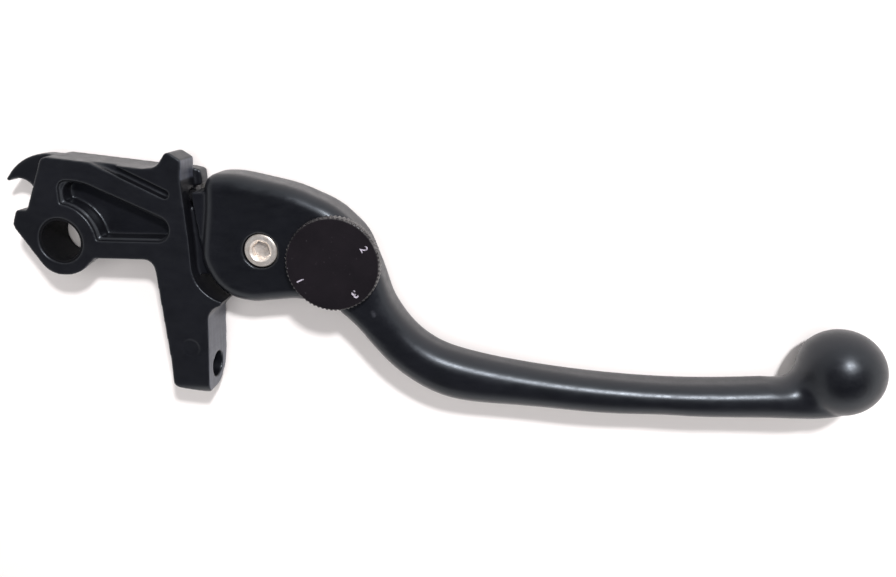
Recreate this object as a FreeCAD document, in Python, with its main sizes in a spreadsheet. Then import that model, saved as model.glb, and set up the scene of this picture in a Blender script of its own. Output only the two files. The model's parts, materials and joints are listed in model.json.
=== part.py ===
import FreeCAD, Part
import math
import os
import Sketcher

# Adjustable hand lever for a motorcycle clutch, in millimetres.
# Frame: origin at the centre of the pivot bore, +Z along the pivot axis, +X towards the ball end.
# The carrier swings on the pivot bore. The blade is hinged on the carrier's tongue by a screw,
# and a numbered dial turns a spiral cam that sets how far the blade stands from the carrier.

doc = FreeCAD.newDocument("clutch_lever")
V = FreeCAD.Vector

SIZES = {
    # carrier casting
    "carrier_thick": 12.2, "pivot_bore_d": 11.0, "pivot_bore_chamfer": 0.2,
    "web_thick": 2.4, "ledge_depth": 1.2, "rib_groove_depth": 1.8, "rib_groove_width": 2.0,
    "leg_width": 10.0, "rod_bore_d": 6.5, "rod_bore_chamfer": 0.6, "rod_bore_x": 34.0, "rod_bore_y": -32.8,
    "leg_foot_y": -39.2, "leg_front_round": 3.2, "leg_back_round": 8.5,
    "hook_thick": 4.0, "nub_width": 4.4, "block_step": 4.2, "boss_taper": 1.6,
    "tongue_thick": 5.0, "tongue_boss_r": 7.0,
    # bush pressed in the pivot bore
    "pivot_bush_bore_d": 10.0, "pivot_bush_length": 11.4,
    # hinge between carrier and blade
    "hinge_x": 49.7, "hinge_y": -1.3, "hinge_bush_d": 8.0, "hinge_bore_d": 6.1,
    "screw_head_d": 8.0, "screw_head_height": 2.4, "screw_key_width": 4.0, "screw_key_depth": 1.9,
    "screw_shoulder_d": 6.0, "screw_shoulder_length": 7.7, "screw_thread_d": 5.0, "screw_recess": 0.35,
    "screw_edge": 0.35, "nut_height": 2.5, "nut_width": 8.0, "nut_recess_d": 9.6,
    "shim_thick": 0.26, "shim_d": 12.6, "shim_bore_d": 6.3,
    # blade casting
    "head_thick": 13.0, "slot_width": 5.6, "head_round": 3.6,
    "ball_x": 187.3, "ball_y": -29.3, "ball_r": 10.3,
    "lug_inset": 1.6, "pointer_root": 1.5, "pointer_height": 1.85,
    # reach dial and its cam
    "dial_x": 67.7, "dial_y": -3.4, "dial_d": 22.4, "dial_gap": 0.2, "dial_thick": 3.0,
    "dial_chamfer": 0.45, "dial_tooth_depth": 0.3, "dial_teeth": 66.0,
    "spindle_flange_d": 13.4, "spindle_journal_d": 6.0, "spindle_bush_d": 8.0,
    "spigot_d": 7.0, "spigot_length": 2.0,
    "cam_high": 6.3, "cam_thick": 5.3, "cam_gap": 0.15,
    "reach_angle": 7.5, "dial_turns_per_reach": 40.0,
    "circlip_thick": 0.7, "circlip_groove_d": 4.8, "circlip_d": 8.6,
    "spindle_shim_thick": 0.2, "spindle_shim_d": 8.8, "spindle_bore_d": 6.1, "spindle_bush_length": 2.45,
    "dowel_d": 1.6, "dowel_length": 2.9, "dowel_radius": 5.0, "dowel_angle": 200.0,
    "striker_head_d": 4.4, "striker_shank_d": 2.6, "striker_length": 3.2, "striker_head_height": 1.15,
    # detent under the dial
    "detent_angle": 97.0, "detent_radius": 8.3, "detent_ball_d": 2.5, "detent_bore_d": 2.6,
    "detent_bore_depth": 6.0, "detent_wire_d": 0.35, "detent_dimple_depth": 0.4,
    "detent_steps": 6.0, "detent_gap": 0.04,
    "ring_seal_r": 9.9, "ring_seal_wire": 0.8,
    # plunger that holds the cam on its striker
    "plunger_y": 10.3, "plunger_d": 3.4, "plunger_bore_d": 3.5, "plunger_bore_floor_x": 23.0,
    "plunger_tip_x": 33.2, "plunger_length": 6.0, "plunger_nose": 1.2, "plunger_wire_d": 0.4,
}

sheet = doc.addObject("Spreadsheet::Sheet", "sizes")
for row, (alias, value) in enumerate(SIZES.items(), start=1):
    sheet.set("A%d" % row, alias)
    sheet.set("B%d" % row, str(value))
    sheet.setAlias("B%d" % row, alias)
doc.recompute()


def size(alias):
    """Value of one cell of the sheet."""
    return float(sheet.get(alias))


HINGE = V(size("hinge_x"), size("hinge_y"), 0)
DIAL = V(size("dial_x"), size("dial_y"), 0)
CARRIER_FACE = size("carrier_thick") / 2
HEAD_FACE = size("head_thick") / 2
SLOT_FACE = size("slot_width") / 2
TONGUE_FACE = size("tongue_thick") / 2
DIAL_LOW = HEAD_FACE + size("dial_gap")
DOWEL_LOW = HEAD_FACE - 1.4


def round_dial(angle, radius):
    """Point at the given angle in degrees and distance from the dial's axis."""
    turn = math.radians(angle)
    return DIAL + V(math.cos(turn), math.sin(turn), 0) * radius


DETENT = round_dial(size("detent_angle"), size("detent_radius"))
DOWEL = round_dial(size("dowel_angle"), size("dowel_radius"))

# ---------------------------------------------------------------- helpers


def bind(obj, prop, expression):
    obj.setExpression(prop, expression)


def new_body(label):
    body = doc.addObject("PartDesign::Body", label)
    body.Label = label
    body.Placement = FreeCAD.Placement()
    return body


def sketch_on(body, name, plane="XY_Plane", offset=V(0, 0, 0), turn=FreeCAD.Rotation()):
    """Empty sketch on one of the body's own origin planes, moved and turned within that plane's frame."""
    sketch = body.newObject("Sketcher::SketchObject", name)
    origin_plane = [f for f in body.Origin.OriginFeatures if f.Role == plane][0]
    sketch.AttachmentSupport = [(origin_plane, "")]
    sketch.MapMode = "FlatFace"
    sketch.AttachmentOffset = FreeCAD.Placement(offset, turn)
    return sketch


def circle(sketch, centre, diameter):
    """Circle whose diameter is an expression of the sheet."""
    index = sketch.addGeometry(Part.Circle(V(centre.x, centre.y, 0), V(0, 0, 1), 1.0), False)
    sketch.addConstraint(Sketcher.Constraint("DistanceX", -1, 1, index, 3, centre.x))
    sketch.addConstraint(Sketcher.Constraint("DistanceY", -1, 1, index, 3, centre.y))
    number = sketch.addConstraint(Sketcher.Constraint("Diameter", index, 2.0))
    sketch.setExpression("Constraints[%d]" % number, diameter)
    return index


def rounded_path(corners):
    """Closed chain of lines and tangent arcs through (x, y, radius) corners."""
    count = len(corners)
    ends = []
    arcs = []
    for i, (x, y, radius) in enumerate(corners):
        here = V(x, y, 0)
        before = V(corners[i - 1][0], corners[i - 1][1], 0) - here
        after = V(corners[(i + 1) % count][0], corners[(i + 1) % count][1], 0) - here
        before.normalize()
        after.normalize()
        if radius == 0:
            ends.append((here, here))
            arcs.append(None)
            continue
        half = before.getAngle(after) / 2
        reach = radius / math.tan(half)
        bisector = before + after
        bisector.normalize()
        centre = here + bisector * (radius / math.sin(half))
        middle = centre - bisector * radius
        first = here + before * reach
        last = here + after * reach
        ends.append((first, last))
        arcs.append(Part.Arc(first, middle, last))
    path = []
    for i in range(count):
        if arcs[i]:
            path.append(arcs[i])
        start = ends[i][1]
        end = ends[(i + 1) % count][0]
        if start.distanceToPoint(end) > 1e-4:
            path.append(Part.LineSegment(start, end))
    return path


def draw(sketch, path):
    """Adds a closed chain of lines and arcs to the sketch and fixes each piece where it is."""
    first = sketch.GeometryCount
    sketch.addGeometry(path, False)
    for i in range(len(path)):
        sketch.addConstraint(Sketcher.Constraint("Block", first + i))


def pad(body, sketch, name, length, both_sides=True, backwards=False):
    feature = body.newObject("PartDesign::Pad", name)
    feature.Profile = sketch
    feature.Midplane = both_sides
    feature.Reversed = backwards
    bind(feature, "Length", length)
    return feature


def pocket(body, sketch, name, length, both_sides=False, backwards=False):
    """Pocket that runs against the sketch's normal, along it when backwards, or both ways."""
    doc.recompute()
    before = body.Tip.Shape.Volume
    feature = body.newObject("PartDesign::Pocket", name)
    feature.Profile = sketch
    feature.Midplane = both_sides
    feature.Reversed = backwards
    bind(feature, "Length", length)
    doc.recompute()
    print("%-28s %10.1f -> %10.1f" % (name, before, feature.Shape.Volume))
    if feature.Shape.Volume > before - 0.5:
        raise RuntimeError(name + " removes nothing")
    return feature


def dress(body, kind, name, edges, amount, prop):
    """Fillet or chamfer on the edges of the body's tip that the test picks."""
    base = body.Tip
    picked = ["Edge%d" % (i + 1) for i, edge in enumerate(base.Shape.Edges) if edges(edge)]
    if not picked:
        raise RuntimeError(name + " finds no edge")
    feature = body.newObject("PartDesign::" + kind, name)
    feature.Base = (base, picked)
    bind(feature, prop, amount)
    doc.recompute()
    return feature


def fillet(body, name, edges, radius):
    return dress(body, "Fillet", name, edges, radius, "Radius")


def chamfer(body, name, edges, amount):
    return dress(body, "Chamfer", name, edges, amount, "Size")


def middle_of(edge):
    return edge.valueAt((edge.FirstParameter + edge.LastParameter) / 2)


def is_rim(edge, centre, radius, z):
    """True for a circle of the given radius about a vertical axis, at height z."""
    curve = edge.Curve
    if not isinstance(curve, Part.Circle) or abs(curve.Radius - radius) > 0.01:
        return False
    flat = abs(curve.Center.x - centre.x) < 0.01 and abs(curve.Center.y - centre.y) < 0.01
    return flat and abs(curve.Center.z - z) < 0.01


def flat_at(edge, z):
    """True for an edge that lies wholly at height z."""
    return abs(edge.BoundBox.ZMin - z) < 1e-3 and abs(edge.BoundBox.ZMax - z) < 1e-3


def turned(name, centre, profile):
    """Solid of revolution about the vertical axis through centre, from (radius, z) corners."""
    points = [V(centre.x + r, centre.y, z) for r, z in profile]
    wire = Part.makePolygon(points + [points[0]])
    solid = Part.Face(wire).revolve(V(centre.x, centre.y, 0), V(0, 0, 1), 360)
    return feature(name, solid)


def feature(name, shape):
    obj = doc.addObject("Part::Feature", name)
    obj.Label = name
    obj.Shape = shape
    obj.Placement = FreeCAD.Placement()
    return obj


def ring_body(label, centre, outer, inner, low, height):
    """Plain ring on a vertical axis: outer and inner diameters and height are sheet expressions."""
    body = new_body(label)
    sketch = sketch_on(body, label + "_profile", offset=V(0, 0, low))
    circle(sketch, centre, outer)
    circle(sketch, centre, inner)
    pad(body, sketch, label + "_pad", height, both_sides=False)
    doc.recompute()
    return body


# ---------------------------------------------------------------- lever carrier


def carrier_outline():
    """Front view of the casting: pivot boss, switch lug, rib, wall, top block and the rod leg."""
    foot = size("leg_foot_y")
    return [
        (-2.0, 20.3, 2.0), (22.5, 17.7, 3.0), (26.0, 18.1, 3.0), (28.7, 21.9, 1.2), (32.1, 19.7, 0.9),
        (31.5, 16.0, 1.5), (32.2, 0.0, 0), (32.2, -9.4, 9.0), (37.4, -14.5, 9.0), (40.8, -14.7, 0.5),
        (35.4, -16.6, 4.0), (34.9, -25.0, 0), (33.9, foot, 1.0), (24.7, foot + 1.9, 2.0), (24.7, -30.2, 4.0),
        (22.9, -4.2, 2.8), (7.9, -4.2, 1.2), (4.6, -8.6, 6.6), (-3.8, -8.6, 6.2),
        (-11.7, 3.6, 2.2), (-10.2, 7.4, 0.8), (-7.4, 7.4, 0.9),
    ]


def pocket_outline(gap):
    """Rounded triangle between the ribs. Its lower left side follows the pivot boss, gap away."""
    boss = 9.1 + gap
    low = 0.2 + gap
    start = math.acos(low / boss)
    arc_end = V(boss * math.sin(start), low, 0)
    arc_top = V((1.0 + gap), math.sqrt(boss ** 2 - (1.0 + gap) ** 2), 0)
    arc_mid_angle = (math.atan2(arc_end.y, arc_end.x) + math.atan2(arc_top.y, arc_top.x)) / 2
    arc_mid = V(boss * math.cos(arc_mid_angle), boss * math.sin(arc_mid_angle), 0)
    top_left = V(1.0 + gap, 14.7 - gap, 0)
    crown = 2.2
    bow = crown * (1 - math.sqrt(0.5))
    slope_start = V(10.0, 13.2 - gap, 0)
    right_top = V(26.0 - gap, 6.2 - gap, 0)
    right_mid = V(27.6 - gap, 3.6, 0)
    right_low = V(25.0 - gap, low, 0)
    return [
        Part.LineSegment(arc_top, top_left - V(0, crown, 0)),
        Part.Arc(top_left - V(0, crown, 0), top_left + V(bow, -bow, 0), top_left + V(crown, 0, 0)),
        Part.Arc(top_left + V(crown, 0, 0), V(6.8, 14.33 - gap, 0), slope_start),
        Part.LineSegment(slope_start, right_top),
        Part.Arc(right_top, right_mid, right_low),
        Part.LineSegment(right_low, arc_end),
        Part.Arc(arc_end, arc_mid, arc_top),
    ]


def build_carrier():
    body = new_body("lever_carrier")

    outline = sketch_on(body, "carrier_outline")
    draw(outline, rounded_path(carrier_outline()))
    pad(body, outline, "carrier_plate", "sizes.carrier_thick")
    doc.recompute()

    # the foot of the leg is rounded front and back, the back more
    foot = size("leg_foot_y")
    side = CARRIER_FACE + 2
    for name, face, radius in (("leg_front", 1, "leg_front_round"), ("leg_back", -1, "leg_back_round")):
        r = size(radius)
        corner = V(foot, face * CARRIER_FACE, 0)
        on_face = V(foot + r, face * CARRIER_FACE, 0)
        on_foot = V(foot, face * (CARRIER_FACE - r), 0)
        centre = V(foot + r, face * (CARRIER_FACE - r), 0)
        middle = centre + (corner - centre).normalize() * r
        below = V(foot - 1, face * (CARRIER_FACE - r), 0)
        outside = V(foot - 1, face * side, 0)
        beyond = V(foot + r, face * side, 0)
        cut = sketch_on(body, name + "_sketch", "YZ_Plane", V(0, 0, size("rod_bore_x")))
        draw(cut, [Part.Arc(on_face, middle, on_foot), Part.LineSegment(on_foot, below),
                   Part.LineSegment(below, outside), Part.LineSegment(outside, beyond),
                   Part.LineSegment(beyond, on_face)])
        pocket(body, cut, name + "_rounding", "2 * sizes.leg_width", both_sides=True)

    # the pivot boss tapers towards the back along its lower side
    boss_front = 8.65
    boss_back = boss_front - size("boss_taper")
    taper = sketch_on(body, "boss_taper_sketch", "XZ_Plane", turn=FreeCAD.Rotation(V(0, 1, 0), -93))
    draw(taper, rounded_path([(boss_front, CARRIER_FACE, 0), (boss_back, -CARRIER_FACE - 0.5, 0),
                              (12.0, -CARRIER_FACE - 0.5, 0), (12.0, CARRIER_FACE, 0)]))
    cone = body.newObject("PartDesign::Groove", "boss_taper")
    cone.Profile = taper
    cone.ReferenceAxis = (taper, ["V_Axis"])
    cone.Midplane = True
    cone.Angle = 112
    doc.recompute()

    # lightening pockets, one each side of a web, with a shallow ledge round the edge
    for name, face in (("front", 1), ("back", -1)):
        ledge = sketch_on(body, name + "_ledge_sketch", offset=V(0, 0, face * CARRIER_FACE))
        draw(ledge, pocket_outline(0))
        pocket(body, ledge, name + "_ledge", "sizes.ledge_depth", backwards=face < 0)
        deep = sketch_on(body, name + "_pocket_sketch", offset=V(0, 0, face * CARRIER_FACE))
        draw(deep, pocket_outline(0.7))
        web_down = "(sizes.carrier_thick - sizes.web_thick) / 2"
        pocket(body, deep, name + "_pocket", web_down, backwards=face < 0)

    # rib groove above the pocket, open at the top edge, on the front
    half = size("rib_groove_width") / 2
    groove_end = V(27.4, 11.7, 0)
    along = V(18.2, -8.7, 0).normalize()
    across = V(-along.y, along.x, 0) * half
    far = groove_end - along * 26
    groove = sketch_on(body, "rib_groove_sketch", offset=V(0, 0, CARRIER_FACE))
    draw(groove, [Part.LineSegment(far - across, groove_end - across),
                  Part.Arc(groove_end - across, groove_end + along * half, groove_end + across),
                  Part.LineSegment(groove_end + across, far + across),
                  Part.LineSegment(far + across, far - across)])
    pocket(body, groove, "rib_groove", "sizes.rib_groove_depth")

    # thin hook that works the clutch switch
    hook = sketch_on(body, "hook_sketch")
    draw(hook, [Part.LineSegment(V(1, 20.1, 0), V(-2.9, 20.5, 0)),
                Part.Arc(V(-2.9, 20.5, 0), V(-9.0, 19.0, 0), V(-13.9, 14.6, 0)),
                Part.Arc(V(-13.9, 14.6, 0), V(-14.2, 14.0, 0), V(-13.5, 13.8, 0)),
                Part.Arc(V(-13.5, 13.8, 0), V(-10.0, 14.2, 0), V(-7.4, 11.9, 0)),
                Part.LineSegment(V(-7.4, 11.9, 0), V(1, 9, 0)),
                Part.LineSegment(V(1, 9, 0), V(1, 20.1, 0))])
    pad(body, hook, "switch_hook", "sizes.hook_thick")

    # the top block stands on the front half only, with a rounded nub behind it
    step = sketch_on(body, "block_step_sketch", offset=V(0, 0, -CARRIER_FACE))
    ledge = [(22.0, 18.2, 0), (28.0, 17.6, 3), (36.0, 16.4, 0), (36.0, 24.0, 0), (22.0, 24.0, 0)]
    draw(step, rounded_path(ledge))
    pocket(body, step, "block_step", "sizes.block_step", backwards=True)
    nub = sketch_on(body, "rear_nub_sketch", offset=V(0, 0, -3.9))
    draw(nub, rounded_path([(29.5, 17.2, 0), (33.4, 16.7, 1.0), (33.5, 12.9, 0.8), (30.0, 12.4, 0)]))
    pad(body, nub, "rear_nub", "sizes.nub_width")

    # tongue inside the blade's slot: hinge boss, then a nose that the cam bears on
    tongue = sketch_on(body, "tongue_sketch")
    boss_r = size("tongue_boss_r")
    draw(tongue, rounded_path([
        (29, 8.2, 0), (40, 8.2, 6), (46.5, HINGE.y + boss_r, 4),
        (HINGE.x + boss_r + 0.6, HINGE.y + boss_r, 6.6), (HINGE.x + boss_r, -11.0, 4),
        (70.4, -11.0, 0.6), (70.0, -14.6, 1.5), (58.6, -12.6, 6), (43.0, -8.4, 8), (29, -8.4, 0)]))
    pad(body, tongue, "hinge_tongue", "sizes.tongue_thick")
    doc.recompute()

    # bores: pivot, hinge, rod, striker and reach plunger
    bores = sketch_on(body, "pivot_bore_sketch")
    circle(bores, V(0, 0, 0), "sizes.pivot_bore_d")
    circle(bores, HINGE, "sizes.hinge_bush_d")
    pocket(body, bores, "pivot_and_hinge_bores", "sizes.carrier_thick + 2", both_sides=True)

    rod = sketch_on(body, "rod_bore_sketch", "YZ_Plane", V(0, 0, 20))
    circle(rod, V(size("rod_bore_y"), 0, 0), "sizes.rod_bore_d")
    pocket(body, rod, "rod_bore", "2 * sizes.leg_width", backwards=True)

    striker = sketch_on(body, "striker_bore_sketch", "XZ_Plane", V(0, 0, 11.0))
    circle(striker, V(DIAL.x, 0, 0), "sizes.striker_shank_d")
    pocket(body, striker, "striker_bore", "sizes.striker_length + 2", backwards=True)

    plunger = sketch_on(body, "plunger_bore_sketch", "YZ_Plane", V(0, 0, size("plunger_bore_floor_x")))
    circle(plunger, V(size("plunger_y"), 0, 0), "sizes.plunger_bore_d")
    pocket(body, plunger, "plunger_bore", "sizes.plunger_tip_x - sizes.plunger_bore_floor_x", backwards=True)

    bore_r = size("pivot_bore_d") / 2
    chamfer(body, "pivot_bore_chamfers", lambda e: is_rim(e, V(0, 0, 0), bore_r, CARRIER_FACE)
            or is_rim(e, V(0, 0, 0), bore_r, -CARRIER_FACE), "sizes.pivot_bore_chamfer")
    return body


# ---------------------------------------------------------------- lever blade

# Stations of the blade's centreline from the head to the ball:
# x, y, heading in degrees, half width seen from the front, half depth, corner radius
BLADE_STATIONS = [
    (72.75, -12.8, -52, 6.3, 6.5, 3.4),
    (78.7, -20.7, -49, 5.25, 6.5, 3.8),
    (83.9, -26.5, -38, 5.4, 6.3, 4.4),
    (89.4, -30.35, -25, 5.7, 6.2, 4.7),
    (96.4, -33.0, -12, 6.0, 6.1, 4.9),
    (107.0, -34.6, -7, 5.4, 6.0, 4.8),
    (121.0, -35.9, -5, 4.65, 6.0, 4.4),
    (140.0, -36.9, -1, 4.1, 6.0, 4.0),
    (158.0, -36.9, 1.5, 4.1, 6.0, 4.0),
    (171.0, -36.3, 4, 4.4, 6.0, 4.3),
    (180.0, -35.8, 6, 4.9, 5.9, 4.5),
    (189.0, -34.1, 13, 5.0, 5.6, 4.6),
]


def head_outline():
    """Front view of the blade's head, from the ear's lower corner round over the top to the neck."""
    return [
        (36.6, 16.4, 3.6), (43.6, 16.7, 22), (57.6, 13.7, 36), (67.6, 9.4, 20), (74.4, 2.9, 14),
        (78.3, -7.6, 22), (80.9, -15.6, 0), (74.6, -22.2, 0), (71.6, -19.2, 4), (66.0, -14.9, 5),
        (57.5, -13.5, 12), (47.0, -14.7, 10), (38.5, -13.6, 11), (34.0, -4.0, 9), (36.0, 8.6, 0),
    ]


def slot_outline():
    """Space between the ears for the tongue and the cam: open to the left and below."""
    cam_room = size("cam_high") + 0.5
    return [
        (28, -30, 0), (28, 9.4, 0), (43.5, 9.4, 3), (58.5, 6.3, 4), (62.0, DIAL.y + cam_room, 2),
        (DIAL.x + cam_room, DIAL.y + cam_room, 6.3), (DIAL.x + cam_room, -12.0, 4), (66.5, -30, 0),
    ]


def rounded_section(sketch, half_width, half_depth, radius):
    draw(sketch, rounded_path([
        (-half_width, -half_depth, radius), (half_width, -half_depth, radius),
        (half_width, half_depth, radius), (-half_width, half_depth, radius)]))


def build_blade():
    body = new_body("lever_blade")
    outline = sketch_on(body, "head_outline")
    draw(outline, rounded_path(head_outline()))
    pad(body, outline, "head", "sizes.head_thick")
    doc.recompute()

    # the head's upper edges are rounded, front and back
    def upper(edge):
        middle = middle_of(edge)
        on_face = flat_at(edge, HEAD_FACE) or flat_at(edge, -HEAD_FACE)
        return on_face and (middle.y > 9.5 or (middle.x > 70 and middle.y > -15))

    fillet(body, "head_rounding", upper, "sizes.head_round")

    sections = []
    for i, (x, y, heading, half_width, half_depth, radius) in enumerate(BLADE_STATIONS):
        turn = FreeCAD.Rotation(V(0, 1, 0), heading)
        section = sketch_on(body, "blade_section_%d" % (i + 1), "YZ_Plane", V(y, 0, x), turn)
        rounded_section(section, half_width, half_depth, radius)
        sections.append(section)
    doc.recompute()
    blade = body.newObject("PartDesign::AdditiveLoft", "finger_blade")
    blade.Profile = sections[0]
    blade.Sections = [(section, "") for section in sections[1:]]
    blade.Ruled = False
    doc.recompute()

    # ball end
    ball = sketch_on(body, "ball_sketch", offset=V(size("ball_x"), size("ball_y"), 0))
    radius = size("ball_r")
    draw(ball, [Part.Arc(V(0, -radius, 0), V(radius, 0, 0), V(0, radius, 0)),
                Part.LineSegment(V(0, radius, 0), V(0, -radius, 0))])
    ball_turn = body.newObject("PartDesign::Revolution", "ball_end")
    ball_turn.Profile = ball
    ball_turn.ReferenceAxis = (ball, ["V_Axis"])
    ball_turn.Angle = 360
    doc.recompute()

    # lug between the ears and the carrier's wall: it stops the blade when pushed forward
    lug = sketch_on(body, "lug_sketch")
    draw(lug, rounded_path([(33.2, 12.2, 0.5), (40.0, 12.2, 0), (40.0, 2.0, 0), (34.6, -1.0, 0.4)]))
    pad(body, lug, "stop_lug", "sizes.head_thick - 2 * sizes.lug_inset")
    doc.recompute()

    # recess for the tongue and the cam
    slot = sketch_on(body, "slot_sketch")
    draw(slot, rounded_path(slot_outline()))
    pocket(body, slot, "tongue_slot", "sizes.slot_width", both_sides=True)

    # bores cut from 1 mm outside each face: screw head, nut, and the spindle's flange, clip and bush
    outside = HEAD_FACE + 1
    through_ear = "sizes.head_thick / 2 + 1"
    clip_depth = "1 + sizes.circlip_thick + sizes.spindle_shim_thick + 0.45"
    for name, centre, diameter, face, depth in (
            ("screw_head_bore", HINGE, "sizes.screw_head_d + 0.5", 1,
             "1 + sizes.screw_head_height + sizes.screw_recess"),
            ("flange_bore", DIAL, "sizes.spindle_flange_d + 0.1", 1, through_ear),
            ("nut_recess", HINGE, "sizes.nut_recess_d", -1, "1 + sizes.nut_height"),
            ("circlip_recess", DIAL, "sizes.circlip_d + 1", -1, clip_depth),
            ("spindle_bush_bore", DIAL, "sizes.spindle_bush_d", -1, through_ear)):
        sketch = sketch_on(body, name + "_sketch", offset=V(0, 0, face * outside))
        circle(sketch, centre, diameter)
        pocket(body, sketch, name, depth, backwards=face < 0)
    shank = sketch_on(body, "shoulder_bore_sketch")
    circle(shank, HINGE, "sizes.screw_shoulder_d + 0.04")
    pocket(body, shank, "shoulder_bore", "sizes.head_thick + 2", both_sides=True)

    detent = sketch_on(body, "detent_bore_sketch", offset=V(0, 0, outside))
    circle(detent, DETENT, "sizes.detent_bore_d")
    pocket(body, detent, "detent_bore", "1 + sizes.detent_bore_depth")

    # raised pointer beside the dial
    pointer = sketch_on(body, "pointer_sketch", offset=V(0, 0, HEAD_FACE - size("pointer_root")))
    draw(pointer, rounded_path([(75.9, -14.6, 0.15), (78.6, -16.6, 0.25), (77.2, -17.7, 0.25)]))
    pad(body, pointer, "index_pointer", "sizes.pointer_height", both_sides=False)
    doc.recompute()
    return body


# ---------------------------------------------------------------- hinge hardware


def build_hinge_screw():
    """Shoulder screw: low head with a hexagon socket, shoulder in the bush, thread through the nut."""
    top = HEAD_FACE - size("screw_recess")
    under = top - size("screw_head_height")
    body = new_body("hinge_screw")
    head = sketch_on(body, "screw_head_sketch", offset=V(0, 0, top))
    circle(head, HINGE, "sizes.screw_head_d")
    pad(body, head, "screw_head", "sizes.screw_head_height", both_sides=False, backwards=True)
    shoulder = sketch_on(body, "screw_shoulder_sketch", offset=V(0, 0, under))
    circle(shoulder, HINGE, "sizes.screw_shoulder_d")
    pad(body, shoulder, "screw_shoulder", "sizes.screw_shoulder_length", both_sides=False, backwards=True)
    thread = sketch_on(body, "screw_thread_sketch", offset=V(0, 0, -HEAD_FACE + 0.2))
    circle(thread, HINGE, "sizes.screw_thread_d")
    pad(body, thread, "screw_thread", "sizes.head_thick / 2", both_sides=False)
    doc.recompute()
    key = sketch_on(body, "screw_key_sketch", offset=V(0, 0, top))
    draw(key, hexagon(HINGE, size("screw_key_width"), 12))
    pocket(body, key, "screw_key", "sizes.screw_key_depth")
    head_r = size("screw_head_d") / 2
    chamfer(body, "screw_head_edge", lambda e: is_rim(e, HINGE, head_r, top), "sizes.screw_edge")
    return body


def hexagon(centre, width, turn):
    """Closed hexagon with the given width across its flats."""
    points = []
    for i in range(6):
        angle = math.radians(turn + 60 * i)
        points.append(centre + V(math.cos(angle), math.sin(angle), 0) * (width / math.sqrt(3)))
    return [Part.LineSegment(points[i], points[(i + 1) % 6]) for i in range(6)]


def build_hinge_nut():
    body = new_body("hinge_nut")
    low = -HEAD_FACE + 0.1
    profile = sketch_on(body, "nut_sketch", offset=V(0, 0, low))
    draw(profile, hexagon(HINGE, size("nut_width"), 0))
    circle(profile, HINGE, "sizes.screw_thread_d")
    pad(body, profile, "nut_body", "sizes.nut_height - 0.1", both_sides=False)
    doc.recompute()
    return body


# ---------------------------------------------------------------- reach dial and cam


def contact_radius(reach):
    """Cam radius that just clears the striker when the blade has turned inwards by reach degrees."""
    arm = DIAL - HINGE
    start = math.atan2(arm.y, arm.x)
    drop = arm.Length * (math.sin(start) - math.sin(start - math.radians(reach)))
    return size("cam_high") - drop


def cam_radius(turn):
    """Spiral cam: falls evenly over the dial's whole turn, dwells, then climbs back to the top."""
    ratio = size("dial_turns_per_reach") - 1
    full = size("reach_angle") * ratio
    if turn <= full:
        return contact_radius(turn / ratio)
    low = contact_radius(size("reach_angle"))
    dwell_end = full + 32
    if turn <= dwell_end:
        return low
    climb = (turn - dwell_end) / (360 - dwell_end)
    return low + (size("cam_high") - low) * (0.5 - 0.5 * math.cos(math.pi * climb))


def dowel_hole():
    """Room for the dowel that drives the spindle from the dial."""
    return Part.makeCylinder(size("dowel_d") / 2, size("dowel_length"), DOWEL + V(0, 0, DOWEL_LOW))


def build_cam_spindle():
    """Dial spindle: spigot in the dial, flange in the front ear, spiral cam, journal in the back ear."""
    journal = size("spindle_journal_d") / 2
    groove = size("circlip_groove_d") / 2
    cam_half = size("cam_thick") / 2
    top = DIAL_LOW
    groove_top = -HEAD_FACE + size("circlip_thick") + 0.45
    spindle = turned("spindle_blank", DIAL, [
        (0, top + size("spigot_length")), (size("spigot_d") / 2, top + size("spigot_length")),
        (size("spigot_d") / 2, top), (size("spindle_flange_d") / 2, top - 0.3),
        (size("spindle_flange_d") / 2, cam_half), (journal, cam_half), (journal, groove_top),
        (groove, groove_top), (groove, groove_top - size("circlip_thick")),
        (journal, groove_top - size("circlip_thick")), (journal, -HEAD_FACE + 0.1), (0, -HEAD_FACE + 0.1)])
    points = []
    for turn in range(0, 360, 12):
        points.append(round_dial(-90 - turn, cam_radius(turn)))
    curve = Part.BSplineCurve()
    curve.interpolate(points, PeriodicFlag=True)
    cam = Part.Face(Part.Wire(curve.toShape())).extrude(V(0, 0, 2 * cam_half))
    cam.translate(V(0, 0, -cam_half))
    solid = spindle.Shape.fuse(cam).removeSplitter().cut(dowel_hole())
    doc.removeObject(spindle.Name)
    return feature("cam_spindle", solid)


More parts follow.
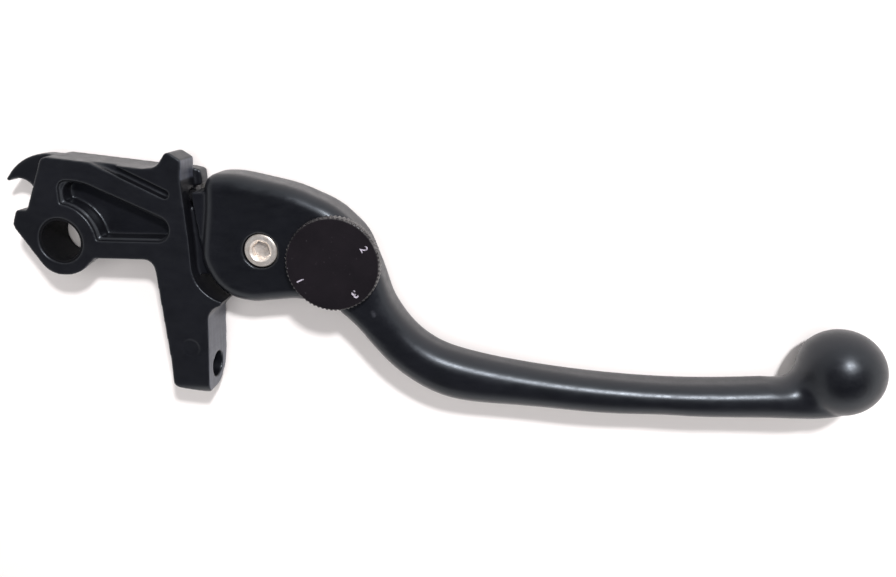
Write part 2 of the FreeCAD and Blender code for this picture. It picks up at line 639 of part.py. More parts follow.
def build_dial():
    """Numbered hand wheel with a finely toothed rim, a blind bore, detent dimples and a seal groove."""
    low = DIAL_LOW
    radius = size("dial_d") / 2
    thick = size("dial_thick")
    edge = size("dial_chamfer")
    bore = size("spigot_d") / 2
    blank = turned("dial_blank", DIAL, [
        (0, low + size("spigot_length") + 0.02), (bore, low + size("spigot_length") + 0.02), (bore, low),
        (radius - edge, low), (radius, low + edge), (radius, low + thick - edge),
        (radius - edge, low + thick), (0, low + thick)])
    shape = blank.Shape
    doc.removeObject(blank.Name)
    teeth = int(size("dial_teeth"))
    depth = size("dial_tooth_depth")
    half = math.pi * radius / teeth * 0.42
    cutters = []
    for i in range(teeth):
        angle = 360.0 / teeth * i
        notch = Part.makePolygon([V(radius + 0.1, -half, low - 1), V(radius - depth, 0, low - 1),
                                  V(radius + 0.1, half, low - 1), V(radius + 0.1, -half, low - 1)])
        prism = Part.Face(notch).extrude(V(0, 0, thick + 2))
        prism.rotate(V(0, 0, 0), V(0, 0, 1), angle)
        prism.translate(DIAL)
        cutters.append(prism)
    ball = size("detent_ball_d") / 2
    dimple_depth = size("detent_dimple_depth")
    for i in range(int(size("detent_steps"))):
        centre = round_dial(size("detent_angle") + 360.0 / size("detent_steps") * i, size("detent_radius"))
        cutters.append(Part.makeSphere(ball + 0.1, centre + V(0, 0, low + dimple_depth - ball)))
    cutters.append(seal_torus(0.05))
    cutters.append(dowel_hole())
    return feature("adjuster_dial", shape.cut(cutters))


def seal_torus(clearance):
    """Round section ring half sunk in the dial's underside."""
    wire_r = size("ring_seal_wire") / 2 + clearance
    return Part.makeTorus(size("ring_seal_r"), wire_r, DIAL + V(0, 0, DIAL_LOW + 0.15), V(0, 0, 1))


def build_ring_seal():
    """Rubber ring in the dial's underside that keeps dirt out and the dial quiet. Its foot is worn flat."""
    wide = size("dial_d")
    above_head = Part.makeBox(2 * wide, 2 * wide, wide, DIAL + V(-wide, -wide, HEAD_FACE + 0.03))
    return feature("dial_seal_ring", seal_torus(0).common(above_head))


def build_circlip():
    """Open spring clip in the spindle's groove."""
    top = -HEAD_FACE + size("circlip_thick") + 0.43
    thick = size("circlip_thick") - 0.04
    inner = size("circlip_groove_d") / 2 + 0.02
    outer = size("circlip_d") / 2
    low = V(DIAL.x, DIAL.y, top - thick)
    ring = Part.makeCylinder(outer, thick, low).cut(Part.makeCylinder(inner, thick, low))
    gap = Part.makeBox(outer + 1, 2 * inner * 0.8, thick + 2, V(0, -inner * 0.8, top - thick - 1))
    gap.rotate(V(0, 0, 0), V(0, 0, 1), 35)
    gap.translate(DIAL)
    return feature("spindle_circlip", ring.cut(gap))


# ---------------------------------------------------------------- springs, ball and plunger


def coil(name, base, axis, length, mean_r, wire_d, turns):
    """Round wire compression spring along axis from base, one closed helix tube with a face per turn."""
    pitch = (length - wire_d) / turns
    place = FreeCAD.Placement(base + axis * (wire_d / 2), FreeCAD.Rotation(V(0, 0, 1), axis))
    spine = Part.Wire(Part.makeLongHelix(pitch, length - wire_d, mean_r).Edges)
    spine.Placement = place
    start = V(mean_r, 0, 0)
    section = Part.Wire(Part.makeCircle(wire_d / 2, start, V(0, mean_r * 2 * math.pi, pitch)))
    section.Placement = place
    return feature(name, spine.makePipeShell([section], True, True))


def build_detent():
    ball_r = size("detent_ball_d") / 2
    centre = DETENT + V(0, 0, DIAL_LOW - ball_r - size("detent_gap"))
    ball = feature("detent_ball", Part.makeSphere(ball_r, centre))
    floor = HEAD_FACE - size("detent_bore_depth")
    wire = size("detent_wire_d")
    mean = size("detent_bore_d") / 2 - wire / 2 - 0.1
    room = centre.z - math.sqrt((ball_r + wire / 2) ** 2 - mean ** 2) - wire / 2 - floor
    spring = coil("detent_spring", DETENT + V(0, 0, floor + 0.02), V(0, 0, 1), room - 0.05, mean, wire, 6)
    return ball, spring


def build_plunger():
    """Nylon plunger in the carrier's wall. Its round nose pushes on the blade's lug."""
    tip = size("plunger_tip_x")
    body = new_body("reach_plunger")
    sketch = sketch_on(body, "plunger_sketch", "YZ_Plane", V(0, 0, tip - size("plunger_length")))
    circle(sketch, V(size("plunger_y"), 0, 0), "sizes.plunger_d")
    pad(body, sketch, "plunger_pin", "sizes.plunger_length", both_sides=False)
    doc.recompute()
    fillet(body, "plunger_round_nose", lambda e: abs(e.BoundBox.XMin - tip) < 1e-3, "sizes.plunger_nose")
    return body


def build_reach_spring():
    floor = V(size("plunger_bore_floor_x") + 0.02, size("plunger_y"), 0)
    room = size("plunger_tip_x") - size("plunger_length") - floor.x - 0.03
    wire = size("plunger_wire_d")
    return coil("reach_spring", floor, V(1, 0, 0), room, size("plunger_d") / 2 - wire / 2 - 0.1, wire, 5)


# ---------------------------------------------------------------- striker, bushes and shims


def build_striker():
    """Hardened striker: a flat head that the cam bears on and a shank pressed in the tongue's nose."""
    top = DIAL.y - size("cam_high") - size("cam_gap")
    body = new_body("cam_striker")
    head = sketch_on(body, "striker_head_sketch", "XZ_Plane", V(0, 0, -top))
    circle(head, V(DIAL.x, 0, 0), "sizes.striker_head_d")
    pad(body, head, "striker_head", "sizes.striker_head_height", both_sides=False)
    shank = sketch_on(body, "striker_shank_sketch", "XZ_Plane", V(0, 0, -top))
    circle(shank, V(DIAL.x, 0, 0), "sizes.striker_shank_d")
    pad(body, shank, "striker_shank", "sizes.striker_head_height + sizes.striker_length", both_sides=False)
    doc.recompute()
    return body


def build_dowel():
    body = new_body("drive_dowel")
    sketch = sketch_on(body, "dowel_sketch", offset=V(0, 0, DOWEL_LOW))
    circle(sketch, DOWEL, "sizes.dowel_d")
    pad(body, sketch, "dowel_pad", "sizes.dowel_length", both_sides=False)
    doc.recompute()
    return body


carrier = build_carrier()
blade = build_blade()
hinge_screw = build_hinge_screw()
hinge_nut = build_hinge_nut()
dial = build_dial()
spindle = build_cam_spindle()
seal_ring = build_ring_seal()
circlip = build_circlip()
detent_ball, detent_spring = build_detent()
plunger = build_plunger()
reach_spring = build_reach_spring()
striker = build_striker()
dowel = build_dowel()

pivot_bush = ring_body("pivot_bush", V(0, 0, 0), "sizes.pivot_bore_d", "sizes.pivot_bush_bore_d",
                       -size("pivot_bush_length") / 2, "sizes.pivot_bush_length")
hinge_bush = ring_body("hinge_bush", HINGE, "sizes.hinge_bush_d", "sizes.hinge_bore_d",
                       -TONGUE_FACE, "sizes.tongue_thick")
shim_gap = (SLOT_FACE - TONGUE_FACE - size("shim_thick")) / 2
shim_front = ring_body("hinge_shim_front", HINGE, "sizes.shim_d", "sizes.shim_bore_d",
                       TONGUE_FACE + shim_gap, "sizes.shim_thick")
shim_rear = ring_body("hinge_shim_rear", HINGE, "sizes.shim_d", "sizes.shim_bore_d",
                      -SLOT_FACE + shim_gap, "sizes.shim_thick")
spindle_shim = ring_body("spindle_shim", DIAL, "sizes.spindle_shim_d", "sizes.spindle_bore_d",
                         -HEAD_FACE + size("circlip_thick") + 0.45, "sizes.spindle_shim_thick")
spindle_bush = ring_body("spindle_bush", DIAL, "sizes.spindle_bush_d", "sizes.spindle_bore_d",
                         -HEAD_FACE + size("circlip_thick") + size("spindle_shim_thick") + 0.47,
                         "sizes.spindle_bush_length")

NODES = [carrier, pivot_bush, hinge_bush, striker, plunger, reach_spring, blade, hinge_screw, hinge_nut,
         shim_front, shim_rear, spindle_bush, dial, spindle, dowel, seal_ring, circlip, spindle_shim,
         detent_ball, detent_spring]

doc.recompute()
for obj in doc.Objects:
    if "Invalid" in obj.State or "Error" in obj.State:
        raise RuntimeError("%s is %s" % (obj.Name, obj.State))

os.makedirs("parts", exist_ok=True)
for node in NODES:
    shape = node.Shape
    if shape.isNull() or not shape.isValid():
        raise RuntimeError("%s has no valid shape" % node.Label)
    shape.exportStep(os.path.join("parts", node.Label + ".step"))
    print("%-20s solids %d  volume %9.1f mm3" % (node.Label, len(shape.Solids), shape.Volume))
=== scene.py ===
import json
import math

import bmesh
import bpy
import numpy as np
from mathutils import Matrix, Vector


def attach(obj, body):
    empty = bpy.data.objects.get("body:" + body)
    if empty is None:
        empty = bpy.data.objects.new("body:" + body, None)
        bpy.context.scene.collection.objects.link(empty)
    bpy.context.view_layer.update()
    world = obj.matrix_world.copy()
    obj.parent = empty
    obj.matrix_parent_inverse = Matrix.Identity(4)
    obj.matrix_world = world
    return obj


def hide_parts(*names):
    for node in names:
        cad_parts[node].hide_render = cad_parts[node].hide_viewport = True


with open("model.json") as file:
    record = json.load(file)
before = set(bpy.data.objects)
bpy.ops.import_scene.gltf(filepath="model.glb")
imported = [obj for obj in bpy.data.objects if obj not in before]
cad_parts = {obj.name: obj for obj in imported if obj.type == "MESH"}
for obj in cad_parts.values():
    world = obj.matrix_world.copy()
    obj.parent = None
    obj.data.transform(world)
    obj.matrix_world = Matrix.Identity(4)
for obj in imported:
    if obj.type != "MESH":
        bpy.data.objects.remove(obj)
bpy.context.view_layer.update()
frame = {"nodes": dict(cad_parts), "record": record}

MM = 0.001

# Places in the row frame, in millimetres
HINGE = (49.7, -1.3)
DIAL = (67.7, -3.4)
HEAD_FACE = 6.5
DIAL_RADIUS = 11.2
DIAL_LOW = HEAD_FACE + 0.2
DIAL_TOP = DIAL_LOW + 3.0
DIAL_TEETH = 66
DIGIT_RADIUS = 8.5
DIGIT_HEIGHT = 2.6
DIGIT_HALF_THICK = 0.3
DIGIT_DEPTH = 0.15
SCREW_TOP = HEAD_FACE - 0.35
SCREW_HEAD = 2.4
SCREW_SHOULDER = 7.7
EJECTOR_MARK = (30.2, -26.5)
EJECTOR_MARK_RADIUS = 2.2
EJECTOR_MARK_DEPTH = 0.15


# ---------------------------------------------------------------- camera, light and floor


def make_camera():
    """Camera above and to the right of the lever, looking down and a little forward."""
    data = bpy.data.cameras.new("camera")
    data.sensor_width = 36.0
    data.lens = 31.18
    data.clip_start = 0.005
    data.clip_end = 20.0
    camera = bpy.data.objects.new("camera", data)
    right = Vector((0.9955, 0.0, -0.0948))
    back = Vector((0.0909, 0.2825, 0.9550))
    right.normalize()
    up = back.cross(right).normalized()
    back = right.cross(up).normalized()
    turn = Matrix((right, up, back)).transposed().to_4x4()
    camera.matrix_world = Matrix.Translation(Vector((110.8, 42.0, 179.65)) * MM) @ turn
    bpy.context.scene.collection.objects.link(camera)
    bpy.context.scene.camera = camera


def area_light(name, place, aim, size, watts, colour):
    """Round soft light, with places and size in millimetres."""
    data = bpy.data.lights.new(name, "AREA")
    data.shape = "DISK"
    data.size = size * MM
    data.energy = watts
    data.color = colour
    light = bpy.data.objects.new(name, data)
    spot = Vector(place) * MM
    light.location = spot
    light.rotation_mode = "QUATERNION"
    light.rotation_quaternion = (Vector(aim) * MM - spot).to_track_quat("-Z", "Y")
    bpy.context.scene.collection.objects.link(light)
    return light


def make_world():
    """White surroundings near the horizon, darker overhead and to the left."""
    world = bpy.data.worlds.new("studio")
    bpy.context.scene.world = world
    world.use_nodes = True
    nodes = world.node_tree.nodes
    links = world.node_tree.links
    nodes.clear()
    where = nodes.new("ShaderNodeTexCoord")
    split = nodes.new("ShaderNodeSeparateXYZ")
    ramp = nodes.new("ShaderNodeValToRGB")
    across = nodes.new("ShaderNodeMapRange")
    shine = nodes.new("ShaderNodeBackground")
    out = nodes.new("ShaderNodeOutputWorld")
    links.new(where.outputs["Generated"], split.inputs[0])
    links.new(split.outputs["Z"], ramp.inputs[0])
    links.new(split.outputs["X"], across.inputs["Value"])
    links.new(across.outputs[0], shine.inputs["Strength"])
    links.new(ramp.outputs[0], shine.inputs["Color"])
    links.new(shine.outputs[0], out.inputs[0])
    stops = ramp.color_ramp.elements
    stops[0].position = 0.40
    stops[0].color = (1.0, 1.0, 1.0, 1)
    stops[1].position = 0.72
    stops[1].color = (0.06, 0.065, 0.08, 1)
    across.inputs["From Min"].default_value = -1.0
    across.inputs["From Max"].default_value = 0.2
    across.inputs["To Min"].default_value = 0.75
    across.inputs["To Max"].default_value = 1.3


def make_floor():
    """Pale table top under the ball end and the carrier."""
    half = 1.6
    corners = [(-half, -half, 0), (half, -half, 0), (half, half, 0), (-half, half, 0)]
    mesh = bpy.data.meshes.new("table_top")
    mesh.from_pydata(corners, [], [(0, 1, 2, 3)])
    floor = bpy.data.objects.new("table_top", mesh)
    bpy.context.scene.collection.objects.link(floor)
    floor.location = Vector((0.0, 0.0, -6.35)) * MM
    floor.rotation_euler = (0.0, math.radians(1.25), 0.0)
    material = bpy.data.materials.new("pale_table")
    material.use_nodes = True
    shader = material.node_tree.nodes["Principled BSDF"]
    shader.inputs["Base Color"].default_value = (0.93, 0.875, 0.85, 1)
    shader.inputs["Roughness"].default_value = 0.7
    shader.inputs["Specular IOR Level"].default_value = 0.2
    mesh.materials.append(material)


# ---------------------------------------------------------------- materials


def shade(tone, factor):
    """A tone made darker or lighter, with alpha."""
    return (*[c * factor for c in tone], 1)


class Finish:
    """A node material on one Principled shader, with helpers for its patterns."""

    def __init__(self, name, **values):
        self.material = bpy.data.materials.new(name)
        self.material.use_nodes = True
        self.nodes = self.material.node_tree.nodes
        self.links = self.material.node_tree.links
        self.shader = self.nodes["Principled BSDF"]
        for key, value in values.items():
            self.shader.inputs[key.replace("_", " ")].default_value = value
        self.where = self.nodes.new("ShaderNodeTexCoord").outputs["Object"]

    def new(self, kind, **settings):
        node = self.nodes.new("ShaderNode" + kind)
        for key, value in settings.items():
            setattr(node, key, value)
        return node

    def feed(self, socket, value):
        if isinstance(value, bpy.types.NodeSocket):
            self.links.new(value, socket)
        else:
            socket.default_value = value

    def math(self, operation, a, b=0.0):
        node = self.new("Math", operation=operation)
        self.feed(node.inputs[0], a)
        self.feed(node.inputs[1], b)
        return node.outputs[0]

    def stretch(self, scale):
        """Object coordinates multiplied along each axis."""
        node = self.new("Mapping")
        self.feed(node.inputs["Vector"], self.where)
        node.inputs["Scale"].default_value = scale
        return node.outputs[0]

    def noise(self, scale, detail=3.0, rough=0.5, place=None):
        node = self.new("TexNoise")
        self.feed(node.inputs["Vector"], place or self.where)
        node.inputs["Scale"].default_value = scale
        node.inputs["Detail"].default_value = detail
        node.inputs["Roughness"].default_value = rough
        return node.outputs["Fac"]

    def ramp(self, value, low, high, start=0.0, end=1.0):
        node = self.new("MapRange")
        node.clamp = True
        self.feed(node.inputs["Value"], value)
        node.inputs["From Min"].default_value = low
        node.inputs["From Max"].default_value = high
        node.inputs["To Min"].default_value = start
        node.inputs["To Max"].default_value = end
        return node.outputs[0]

    def mix(self, share, a, b):
        node = self.new("Mix", data_type="RGBA")
        self.feed(node.inputs["Factor"], share)
        self.feed(node.inputs["A"], a)
        self.feed(node.inputs["B"], b)
        return node.outputs["Result"]

    def bump(self, height, distance, strength=1.0, after=None):
        node = self.new("Bump")
        self.feed(node.inputs["Height"], height)
        node.inputs["Distance"].default_value = distance * MM
        node.inputs["Strength"].default_value = strength
        if after:
            self.links.new(after, node.inputs["Normal"])
        return node.outputs["Normal"]

    def set(self, name, value):
        self.feed(self.shader.inputs[name], value)


def mask_box(finish, low, high, soft):
    """1 inside a box of the row frame, in millimetres, falling to 0 over soft."""
    split = finish.new("SeparateXYZ")
    finish.links.new(finish.where, split.inputs[0])
    share = None
    for axis in range(3):
        for bound, sign in ((low[axis], 1), (high[axis], -1)):
            if bound is None:
                continue
            edge = bound * MM
            step = finish.ramp(split.outputs[axis], edge - sign * soft * MM, edge + sign * soft * MM)
            share = step if share is None else finish.math("MULTIPLY", share, step)
    return share


def black_coat(name, tone, rough):
    """Satin black coating on a casting: fine orange peel, uneven sheen, faint handling marks."""
    f = Finish(name, Specular_IOR_Level=0.5, Specular_Tint=(0.86, 0.92, 1.0, 1))
    cloud = f.noise(90.0, 3.0)
    fine = f.noise(1400.0, 2.0)
    f.set("Base Color", f.mix(f.ramp(cloud, 0.3, 0.7), shade(tone, 0.75), shade(tone, 1.3)))
    smear = f.noise(260.0, 4.0, 0.6, f.stretch((1.0, 2.6, 1.0)))
    f.set("Roughness", f.math("ADD", f.ramp(smear, 0.3, 0.7, rough - 0.04, rough + 0.05),
                              f.ramp(fine, 0.35, 0.65, -0.02, 0.02)))
    return f, fine


def make_blade_coat():
    """Satin black coating, rubbed pale on the pointer beside the dial."""
    f, fine = black_coat("blade_satin_black", (0.0040, 0.0040, 0.0056), 0.35)
    base = f.shader.inputs["Base Color"].links[0].from_socket
    pointer = mask_box(f, (75.4, -18.1, HEAD_FACE + 0.22), (79.0, -14.2, None), 0.08)
    rubbed = f.math("MULTIPLY", pointer, f.ramp(f.noise(800.0, 3.0), 0.4, 0.6))
    f.set("Base Color", f.mix(rubbed, base, (0.08, 0.08, 0.095, 1)))
    f.set("Normal", f.bump(fine, 0.004))
    return f.material


def make_carrier_coat():
    """Bluish black coating. The faces milled afterwards show fine upright tool lines, and a pale bluish
    tone on them is a painted reflection.
    """
    tone = (0.0046, 0.0046, 0.0062)
    f, fine = black_coat("carrier_satin_black", tone, 0.36)
    normal = f.new("TexCoord").outputs["Normal"]
    split = f.new("SeparateXYZ")
    f.links.new(normal, split.inputs[0])
    facing = f.ramp(split.outputs["X"], 0.86, 0.97)
    leg = mask_box(f, (31.0, None, None), (None, -15.5, None), 0.3)
    block = mask_box(f, (31.0, 15.0, -2.0), (None, None, None), 0.3)
    milled = f.math("MULTIPLY", facing, f.math("ADD", leg, block))
    lines = f.noise(1100.0, 2.0, 0.5, f.stretch((1.0, 0.05, 1.0)))
    painted_reflection_lines = f.ramp(lines, 0.3, 0.7, 0.5, 1.0)
    shader_base = f.shader.inputs["Base Color"].links[0].from_socket
    # pale bluish base tone on the milled faces facing +X, streaked along the tool lines: a painted
    # reflection; the tool lines in the bump below are the real milled texture
    f.set("Base Color", f.mix(f.math("MULTIPLY", milled, painted_reflection_lines), shader_base, (0.07, 0.075, 0.095, 1)))
    peel = f.bump(fine, 0.005)
    f.set("Normal", f.bump(f.math("MULTIPLY", lines, milled), 0.03, 1.0, peel))
    return f.material


def make_dial_coat():
    """Brown black anodising with turned rings, a pale rim that is partly wear and partly painted
    highlight, and dust.
    """
    f = Finish("dial_dark_anodised", Specular_IOR_Level=0.4)
    place = f.new("Mapping")
    f.links.new(f.where, place.inputs["Vector"])
    place.inputs["Location"].default_value = (-DIAL[0] * MM, -DIAL[1] * MM, 0)
    split = f.new("SeparateXYZ")
    f.links.new(place.outputs[0], split.inputs[0])
    squares = [f.math("MULTIPLY", split.outputs[axis], split.outputs[axis]) for axis in ("X", "Y")]
    radius = f.math("SQRT", f.math("ADD", *squares))
    combine = f.new("CombineXYZ")
    f.links.new(radius, combine.inputs["X"])
    rings = f.noise(1500.0, 2.0, 0.5, combine.outputs[0])
    cloud = f.noise(160.0, 3.0)
    base = f.mix(f.ramp(cloud, 0.3, 0.7), (0.0044, 0.0030, 0.0044, 1), (0.0075, 0.0052, 0.0072, 1))
    # pale ring on the bevelled rim: partly wear, partly a painted highlight
    worn_rim_and_highlight = f.math("MULTIPLY", f.ramp(radius, 10.7 * MM, 10.9 * MM), f.ramp(f.noise(420.0, 3.0), 0.45, 0.8))
    base = f.mix(f.math("MULTIPLY", worn_rim_and_highlight, 0.5), base, (0.16, 0.15, 0.15, 1))
    dust = f.ramp(f.noise(2100.0, 1.0), 0.765, 0.82)
    base = f.mix(f.math("MULTIPLY", dust, 0.5), base, (0.20, 0.18, 0.20, 1))
    f.set("Base Color", base)
    f.set("Roughness", f.ramp(rings, 0.3, 0.7, 0.36, 0.40))
    f.set("Normal", f.bump(rings, 0.0012))
    return f.material


def make_steel(name, dark, light, rough, line_scale, metal=1.0):
    """Bright steel: turned or drawn lines, faint stains."""
    f = Finish(name, Metallic=metal)
    stain = f.noise(700.0, 4.0, 0.6)
    f.set("Base Color", f.mix(f.ramp(stain, 0.32, 0.68), (*dark, 1), (*light, 1)))
    lines = f.noise(line_scale, 3.0, 0.6)
    f.set("Roughness", f.ramp(lines, 0.3, 0.7, rough - 0.06, rough + 0.10))
    f.set("Normal", f.bump(lines, 0.006))
    return f.material


def make_plastic(name, tone, rough):
    """Dull plastic or rubber with a fine grain."""
    f = Finish(name, Specular_IOR_Level=0.15)
    grain = f.noise(1600.0, 2.0)
    f.set("Base Color", f.mix(f.ramp(grain, 0.3, 0.7), shade(tone, 0.8), shade(tone, 1.25)))
    f.set("Roughness", f.ramp(grain, 0.3, 0.7, rough - 0.05, rough + 0.05))
    f.set("Normal", f.bump(grain, 0.006))
    return f.material


def make_paint():
    """Pale filling paint of the digits, mostly rubbed away."""
    f = Finish("rubbed_pale_paint", Roughness=0.6)
    left = f.ramp(f.noise(900.0, 3.0, 0.6), 0.33, 0.48)
    f.set("Base Color", f.mix(left, (0.014, 0.011, 0.014, 1), (0.42, 0.38, 0.44, 1)))
    return f.material


# ---------------------------------------------------------------- castings


def new_piece(name, mesh, body, slot, material, *nodes):
    """Object on a body that replaces CAD nodes; the slot argument is not used. Without a material it keeps
    the mesh's own.
    """
    obj = bpy.data.objects.new(name, mesh)
    bpy.context.scene.collection.objects.link(obj)
    if material:
        mesh.materials.clear()
        mesh.materials.append(material)
    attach(obj, body)
    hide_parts(*nodes)
    return obj


def remeshed(node, voxel):
    """Even quad mesh of a CAD node."""
    obj = bpy.data.objects.new("draft", frame["nodes"][node].data.copy())
    bpy.context.scene.collection.objects.link(obj)
    remesh = obj.modifiers.new("remesh", "REMESH")
    remesh.mode = "VOXEL"
    remesh.voxel_size = voxel * MM
    graph = bpy.context.evaluated_depsgraph_get()
    mesh = bpy.data.meshes.new_from_object(obj.evaluated_get(graph))
    bpy.data.objects.remove(obj)
    return mesh


def read_points(mesh):
    points = np.empty(len(mesh.vertices) * 3)
    mesh.vertices.foreach_get("co", points)
    edges = np.empty(len(mesh.edges) * 2, dtype=np.int64)
    mesh.edges.foreach_get("vertices", edges)
    return points.reshape(-1, 3) / MM, edges.reshape(-1, 2)


def write_points(mesh, points):
    mesh.vertices.foreach_set("co", (points * MM).ravel())
    mesh.polygons.foreach_set("use_smooth", [True] * len(mesh.polygons))
    mesh.update()


def relax(points, edges, weight, steps, back=None):
    """Laplacian smoothing. With back, each step is followed by one outwards, which keeps the volume."""
    count = len(points)
    a, b = edges[:, 0], edges[:, 1]
    degree = np.bincount(a, minlength=count) + np.bincount(b, minlength=count)
    for _ in range(steps):
        for amount in ((0.5,) if back is None else (0.5, back)):
            mean = np.empty_like(points)
            for axis in range(3):
                column = points[:, axis]
                total = np.bincount(a, column[b], count) + np.bincount(b, column[a], count)
                mean[:, axis] = total / degree
            points = points + (amount * weight)[:, None] * (mean - points)
    return points


def near(points, centre, inner, outer):
    """1 within inner of a place, falling to 0 at outer."""
    gap = np.linalg.norm(points - np.array(centre), axis=1)
    return np.clip((outer - gap) / (outer - inner), 0, 1)


def make_blade(material):
    mesh = remeshed("lever_blade", 0.4)
    points, edges = read_points(mesh)
    # soften the loft's creases all over, then blend the ball's neck and the root below the head
    whole = np.ones(len(points))
    points = relax(points, edges, whole, 6, -0.52)
    neck = near(points, (178.5, -31.0, 0), 5.0, 9.0)
    points = relax(points, edges, neck, 160)
    root = near(points, (80.0, -17.0, 0), 5.0, 12.0) * (points[:, 0] > 71)
    points = relax(points, edges, root, 60)
    points = relax(points, edges, whole, 3)
    write_points(mesh, points)
    return new_piece("blade_casting", mesh, "blade", "blade_coat", material, "lever_blade")


def make_carrier(material):
    mesh = remeshed("lever_carrier", 0.3)
    points, edges = read_points(mesh)
    # the tongue right of the wall keeps its sharper machined edges
    cast = np.where(points[:, 0] > 33.5, 0.3, 1.0)
    points = relax(points, edges, cast, 5)
    # faint round ejector mark on the front of the leg
    aside = np.hypot(points[:, 0] - EJECTOR_MARK[0], points[:, 1] - EJECTOR_MARK[1])
    mark = (aside < EJECTOR_MARK_RADIUS) & (points[:, 2] > 5.6)
    points[mark, 2] -= EJECTOR_MARK_DEPTH
    write_points(mesh, points)
    return new_piece("carrier_casting", mesh, "root", "carrier_coat", material, "lever_carrier")


# ---------------------------------------------------------------- dial


def lathe(bm, centre, rings):
    """Skin over closed rings of (points, z) and caps at both ends."""
    loops = [[bm.verts.new(((centre[0] + x) * MM, (centre[1] + y) * MM, z * MM)) for x, y in outline]
             for outline, z in rings]
    for lower, upper in zip(loops, loops[1:]):
        for i in range(len(lower)):
            j = (i + 1) % len(lower)
            bm.faces.new((lower[i], lower[j], upper[j], upper[i]))
    bm.faces.new(list(reversed(loops[0])))
    bm.faces.new(loops[-1])


def toothed(radius, depth):
    """Rim outline with rounded V notches."""
    outline = []
    per_tooth = (1.0, 0.35, 0.0, 0.35, 1.0, 1.0)
    for i in range(DIAL_TEETH * len(per_tooth)):
        angle = 2 * math.pi * i / (DIAL_TEETH * len(per_tooth))
        r = radius - depth * (1 - per_tooth[i % len(per_tooth)])
        outline.append((r * math.cos(angle), r * math.sin(angle)))
    return outline


def digit_solid(text, angle):
    """Upright digit as a closed solid that dips into the dial's face, with its top towards the rim."""
    curve = bpy.data.curves.new("digit", "FONT")
    curve.body = text
    curve.size = DIGIT_HEIGHT * MM
    curve.align_x = "CENTER"
    curve.align_y = "CENTER"
    curve.extrude = DIGIT_HALF_THICK * MM
    curve.offset = 0.04 * MM
    obj = bpy.data.objects.new("digit", curve)
    bpy.context.scene.collection.objects.link(obj)
    turn = math.radians(angle)
    x = (DIAL[0] + DIGIT_RADIUS * math.cos(turn)) * MM
    y = (DIAL[1] + DIGIT_RADIUS * math.sin(turn)) * MM
    z = (DIAL_TOP + DIGIT_HALF_THICK - DIGIT_DEPTH) * MM
    matrix = Matrix.Translation((x, y, z)) @ Matrix.Rotation(turn - math.pi / 2, 4, "Z")
    graph = bpy.context.evaluated_depsgraph_get()
    mesh = bpy.data.meshes.new_from_object(obj.evaluated_get(graph))
    bpy.data.objects.remove(obj)
    mesh.transform(matrix)
    return mesh


def make_dial(coat, paint):
    """Toothed dial with a bevelled rim, and four painted digits cut into its face."""
    bm = bmesh.new()
    lathe(bm, DIAL, [
        (toothed(DIAL_RADIUS - 0.45, 0.0), DIAL_LOW),
        (toothed(DIAL_RADIUS - 0.12, 0.22), DIAL_LOW + 0.3),
        (toothed(DIAL_RADIUS, 0.34), DIAL_LOW + 0.5),
        (toothed(DIAL_RADIUS, 0.34), DIAL_TOP - 0.45),
        (toothed(DIAL_RADIUS - 0.12, 0.24), DIAL_TOP - 0.22),
        (toothed(DIAL_RADIUS - 0.42, 0.0), DIAL_TOP - 0.02),
        (toothed(DIAL_RADIUS - 0.55, 0.0), DIAL_TOP),
    ])
    mesh = bpy.data.meshes.new("reach_dial")
    bm.to_mesh(mesh)
    bm.free()
    mesh.materials.append(coat)
    mesh.materials.append(paint)
    dial = new_piece("reach_dial", mesh, "dial", "dial_anodise", None, "adjuster_dial")
    cutter_mesh = bpy.data.meshes.new("digits")
    joined = bmesh.new()
    for text, angle in (("1", 207), ("2", 27), ("3", 307), ("6", 127)):
        joined.from_mesh(digit_solid(text, angle))
    bmesh.ops.remove_doubles(joined, verts=joined.verts, dist=1e-7)
    for face in joined.faces:
        face.material_index = 1
    joined.to_mesh(cutter_mesh)
    joined.free()
    cutter_mesh.materials.append(coat)
    cutter_mesh.materials.append(paint)
    cutter = bpy.data.objects.new("digits", cutter_mesh)
    bpy.context.scene.collection.objects.link(cutter)
    cut = dial.modifiers.new("digits", "BOOLEAN")
    cut.operation = "DIFFERENCE"
    cut.solver = "EXACT"
    cut.object = cutter
    graph = bpy.context.evaluated_depsgraph_get()
    carved = bpy.data.meshes.new_from_object(dial.evaluated_get(graph))
    dial.modifiers.clear()
    dial.data = carved
    bpy.data.objects.remove(cutter)
    return dial


# ---------------------------------------------------------------- hinge screw


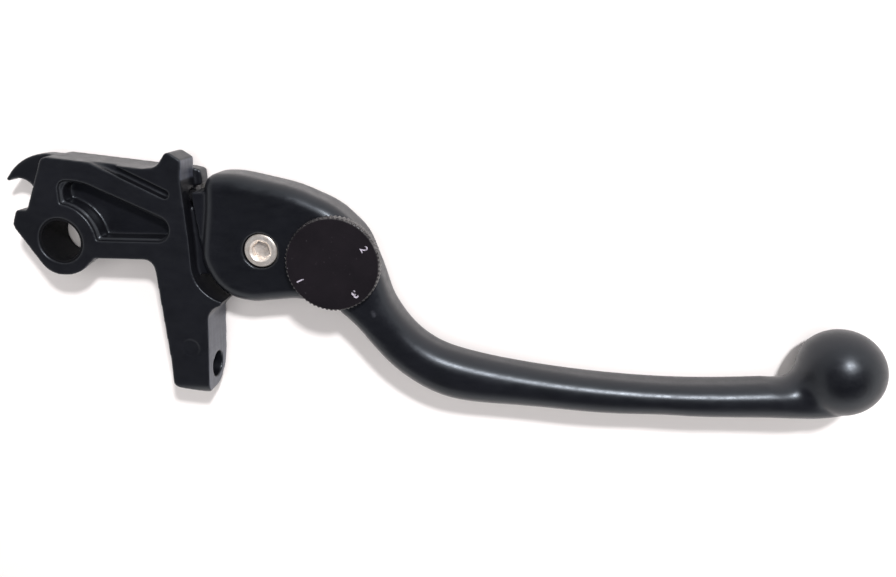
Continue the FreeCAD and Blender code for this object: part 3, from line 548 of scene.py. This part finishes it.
def make_screw(material):
    """Low head with a rounded edge, a lead-in cone and a hexagon socket, on its shank."""
    sides = 96
    angles = [2 * math.pi * i / sides for i in range(sides)]

    def ring(radius, hexagon=0.0):
        outline = []
        for angle in angles:
            flat = 2.0 / math.cos((angle - math.radians(12) + math.pi / 6) % (math.pi / 3) - math.pi / 6)
            r = radius * (1 - hexagon) + flat * hexagon
            outline.append((r * math.cos(angle), r * math.sin(angle)))
        return outline

    top = SCREW_TOP
    under = top - SCREW_HEAD
    bm = bmesh.new()
    lathe(bm, HINGE, [
        (ring(2.5), -HEAD_FACE + 0.2), (ring(2.5), under - SCREW_SHOULDER),
        (ring(3.0), under - SCREW_SHOULDER + 0.1), (ring(3.0), under),
        (ring(3.9), under), (ring(4.0), under + 0.1), (ring(4.0), top - 0.5), (ring(3.93), top - 0.22),
        (ring(3.72), top - 0.06), (ring(3.45), top), (ring(2.72), top), (ring(2.62), top - 0.05),
        (ring(2.3, 0.5), top - 0.35), (ring(2.0, 1.0), top - 0.6), (ring(2.0, 1.0), top - 1.85),
        (ring(1.7, 0.9), top - 1.9), (ring(0.4), top - 2.15),
    ])
    mesh = bpy.data.meshes.new("hinge_screw_turned")
    bm.to_mesh(mesh)
    bm.free()
    mesh.polygons.foreach_set("use_smooth", [False] * len(mesh.polygons))
    return new_piece("hinge_screw_turned", mesh, "blade", "screw_steel", material, "hinge_screw")


# ---------------------------------------------------------------- assembly


def paint_nodes(materials):
    for row in frame["record"]["subparts"]:
        mesh = frame["nodes"][row["node"]].data
        mesh.materials.clear()
        mesh.materials.append(materials[row["material_slot"]])


scene = bpy.context.scene
scene.view_settings.view_transform = "Standard"

make_camera()
make_world()
make_floor()
area_light("key", (240, 290, 420), (90, -12, 0), 50, 2.75, (0.97, 0.98, 1.0))
fill = area_light("overhead", (100, 40, 620), (90, -12, 0), 520, 1.6, (1.0, 1.0, 1.0))
fill.visible_glossy = False

materials = {
    "carrier_coat": make_carrier_coat(),
    "blade_coat": make_blade_coat(),
    "dial_anodise": make_dial_coat(),
    "screw_steel": make_steel(
        "bright_screw_steel", (0.74, 0.65, 0.57), (0.98, 0.91, 0.85), 0.36, 2600.0, 0.8),
    "hard_steel": make_steel("hardened_steel", (0.30, 0.29, 0.30), (0.48, 0.48, 0.50), 0.24, 3000.0),
    "spring_steel": make_steel("spring_wire_steel", (0.30, 0.30, 0.32), (0.52, 0.52, 0.55), 0.22, 4000.0),
    "bronze": make_steel("bearing_bronze", (0.42, 0.26, 0.12), (0.60, 0.40, 0.20), 0.32, 2600.0),
    "black_polymer": make_plastic("black_polymer", (0.004, 0.004, 0.005), 0.6),
    "seal_rubber": make_plastic("black_rubber", (0.010, 0.010, 0.010), 0.75),
}
paint_nodes(materials)
make_carrier(materials["carrier_coat"])
make_blade(materials["blade_coat"])
make_dial(materials["dial_anodise"], make_paint())
make_screw(materials["screw_steel"])
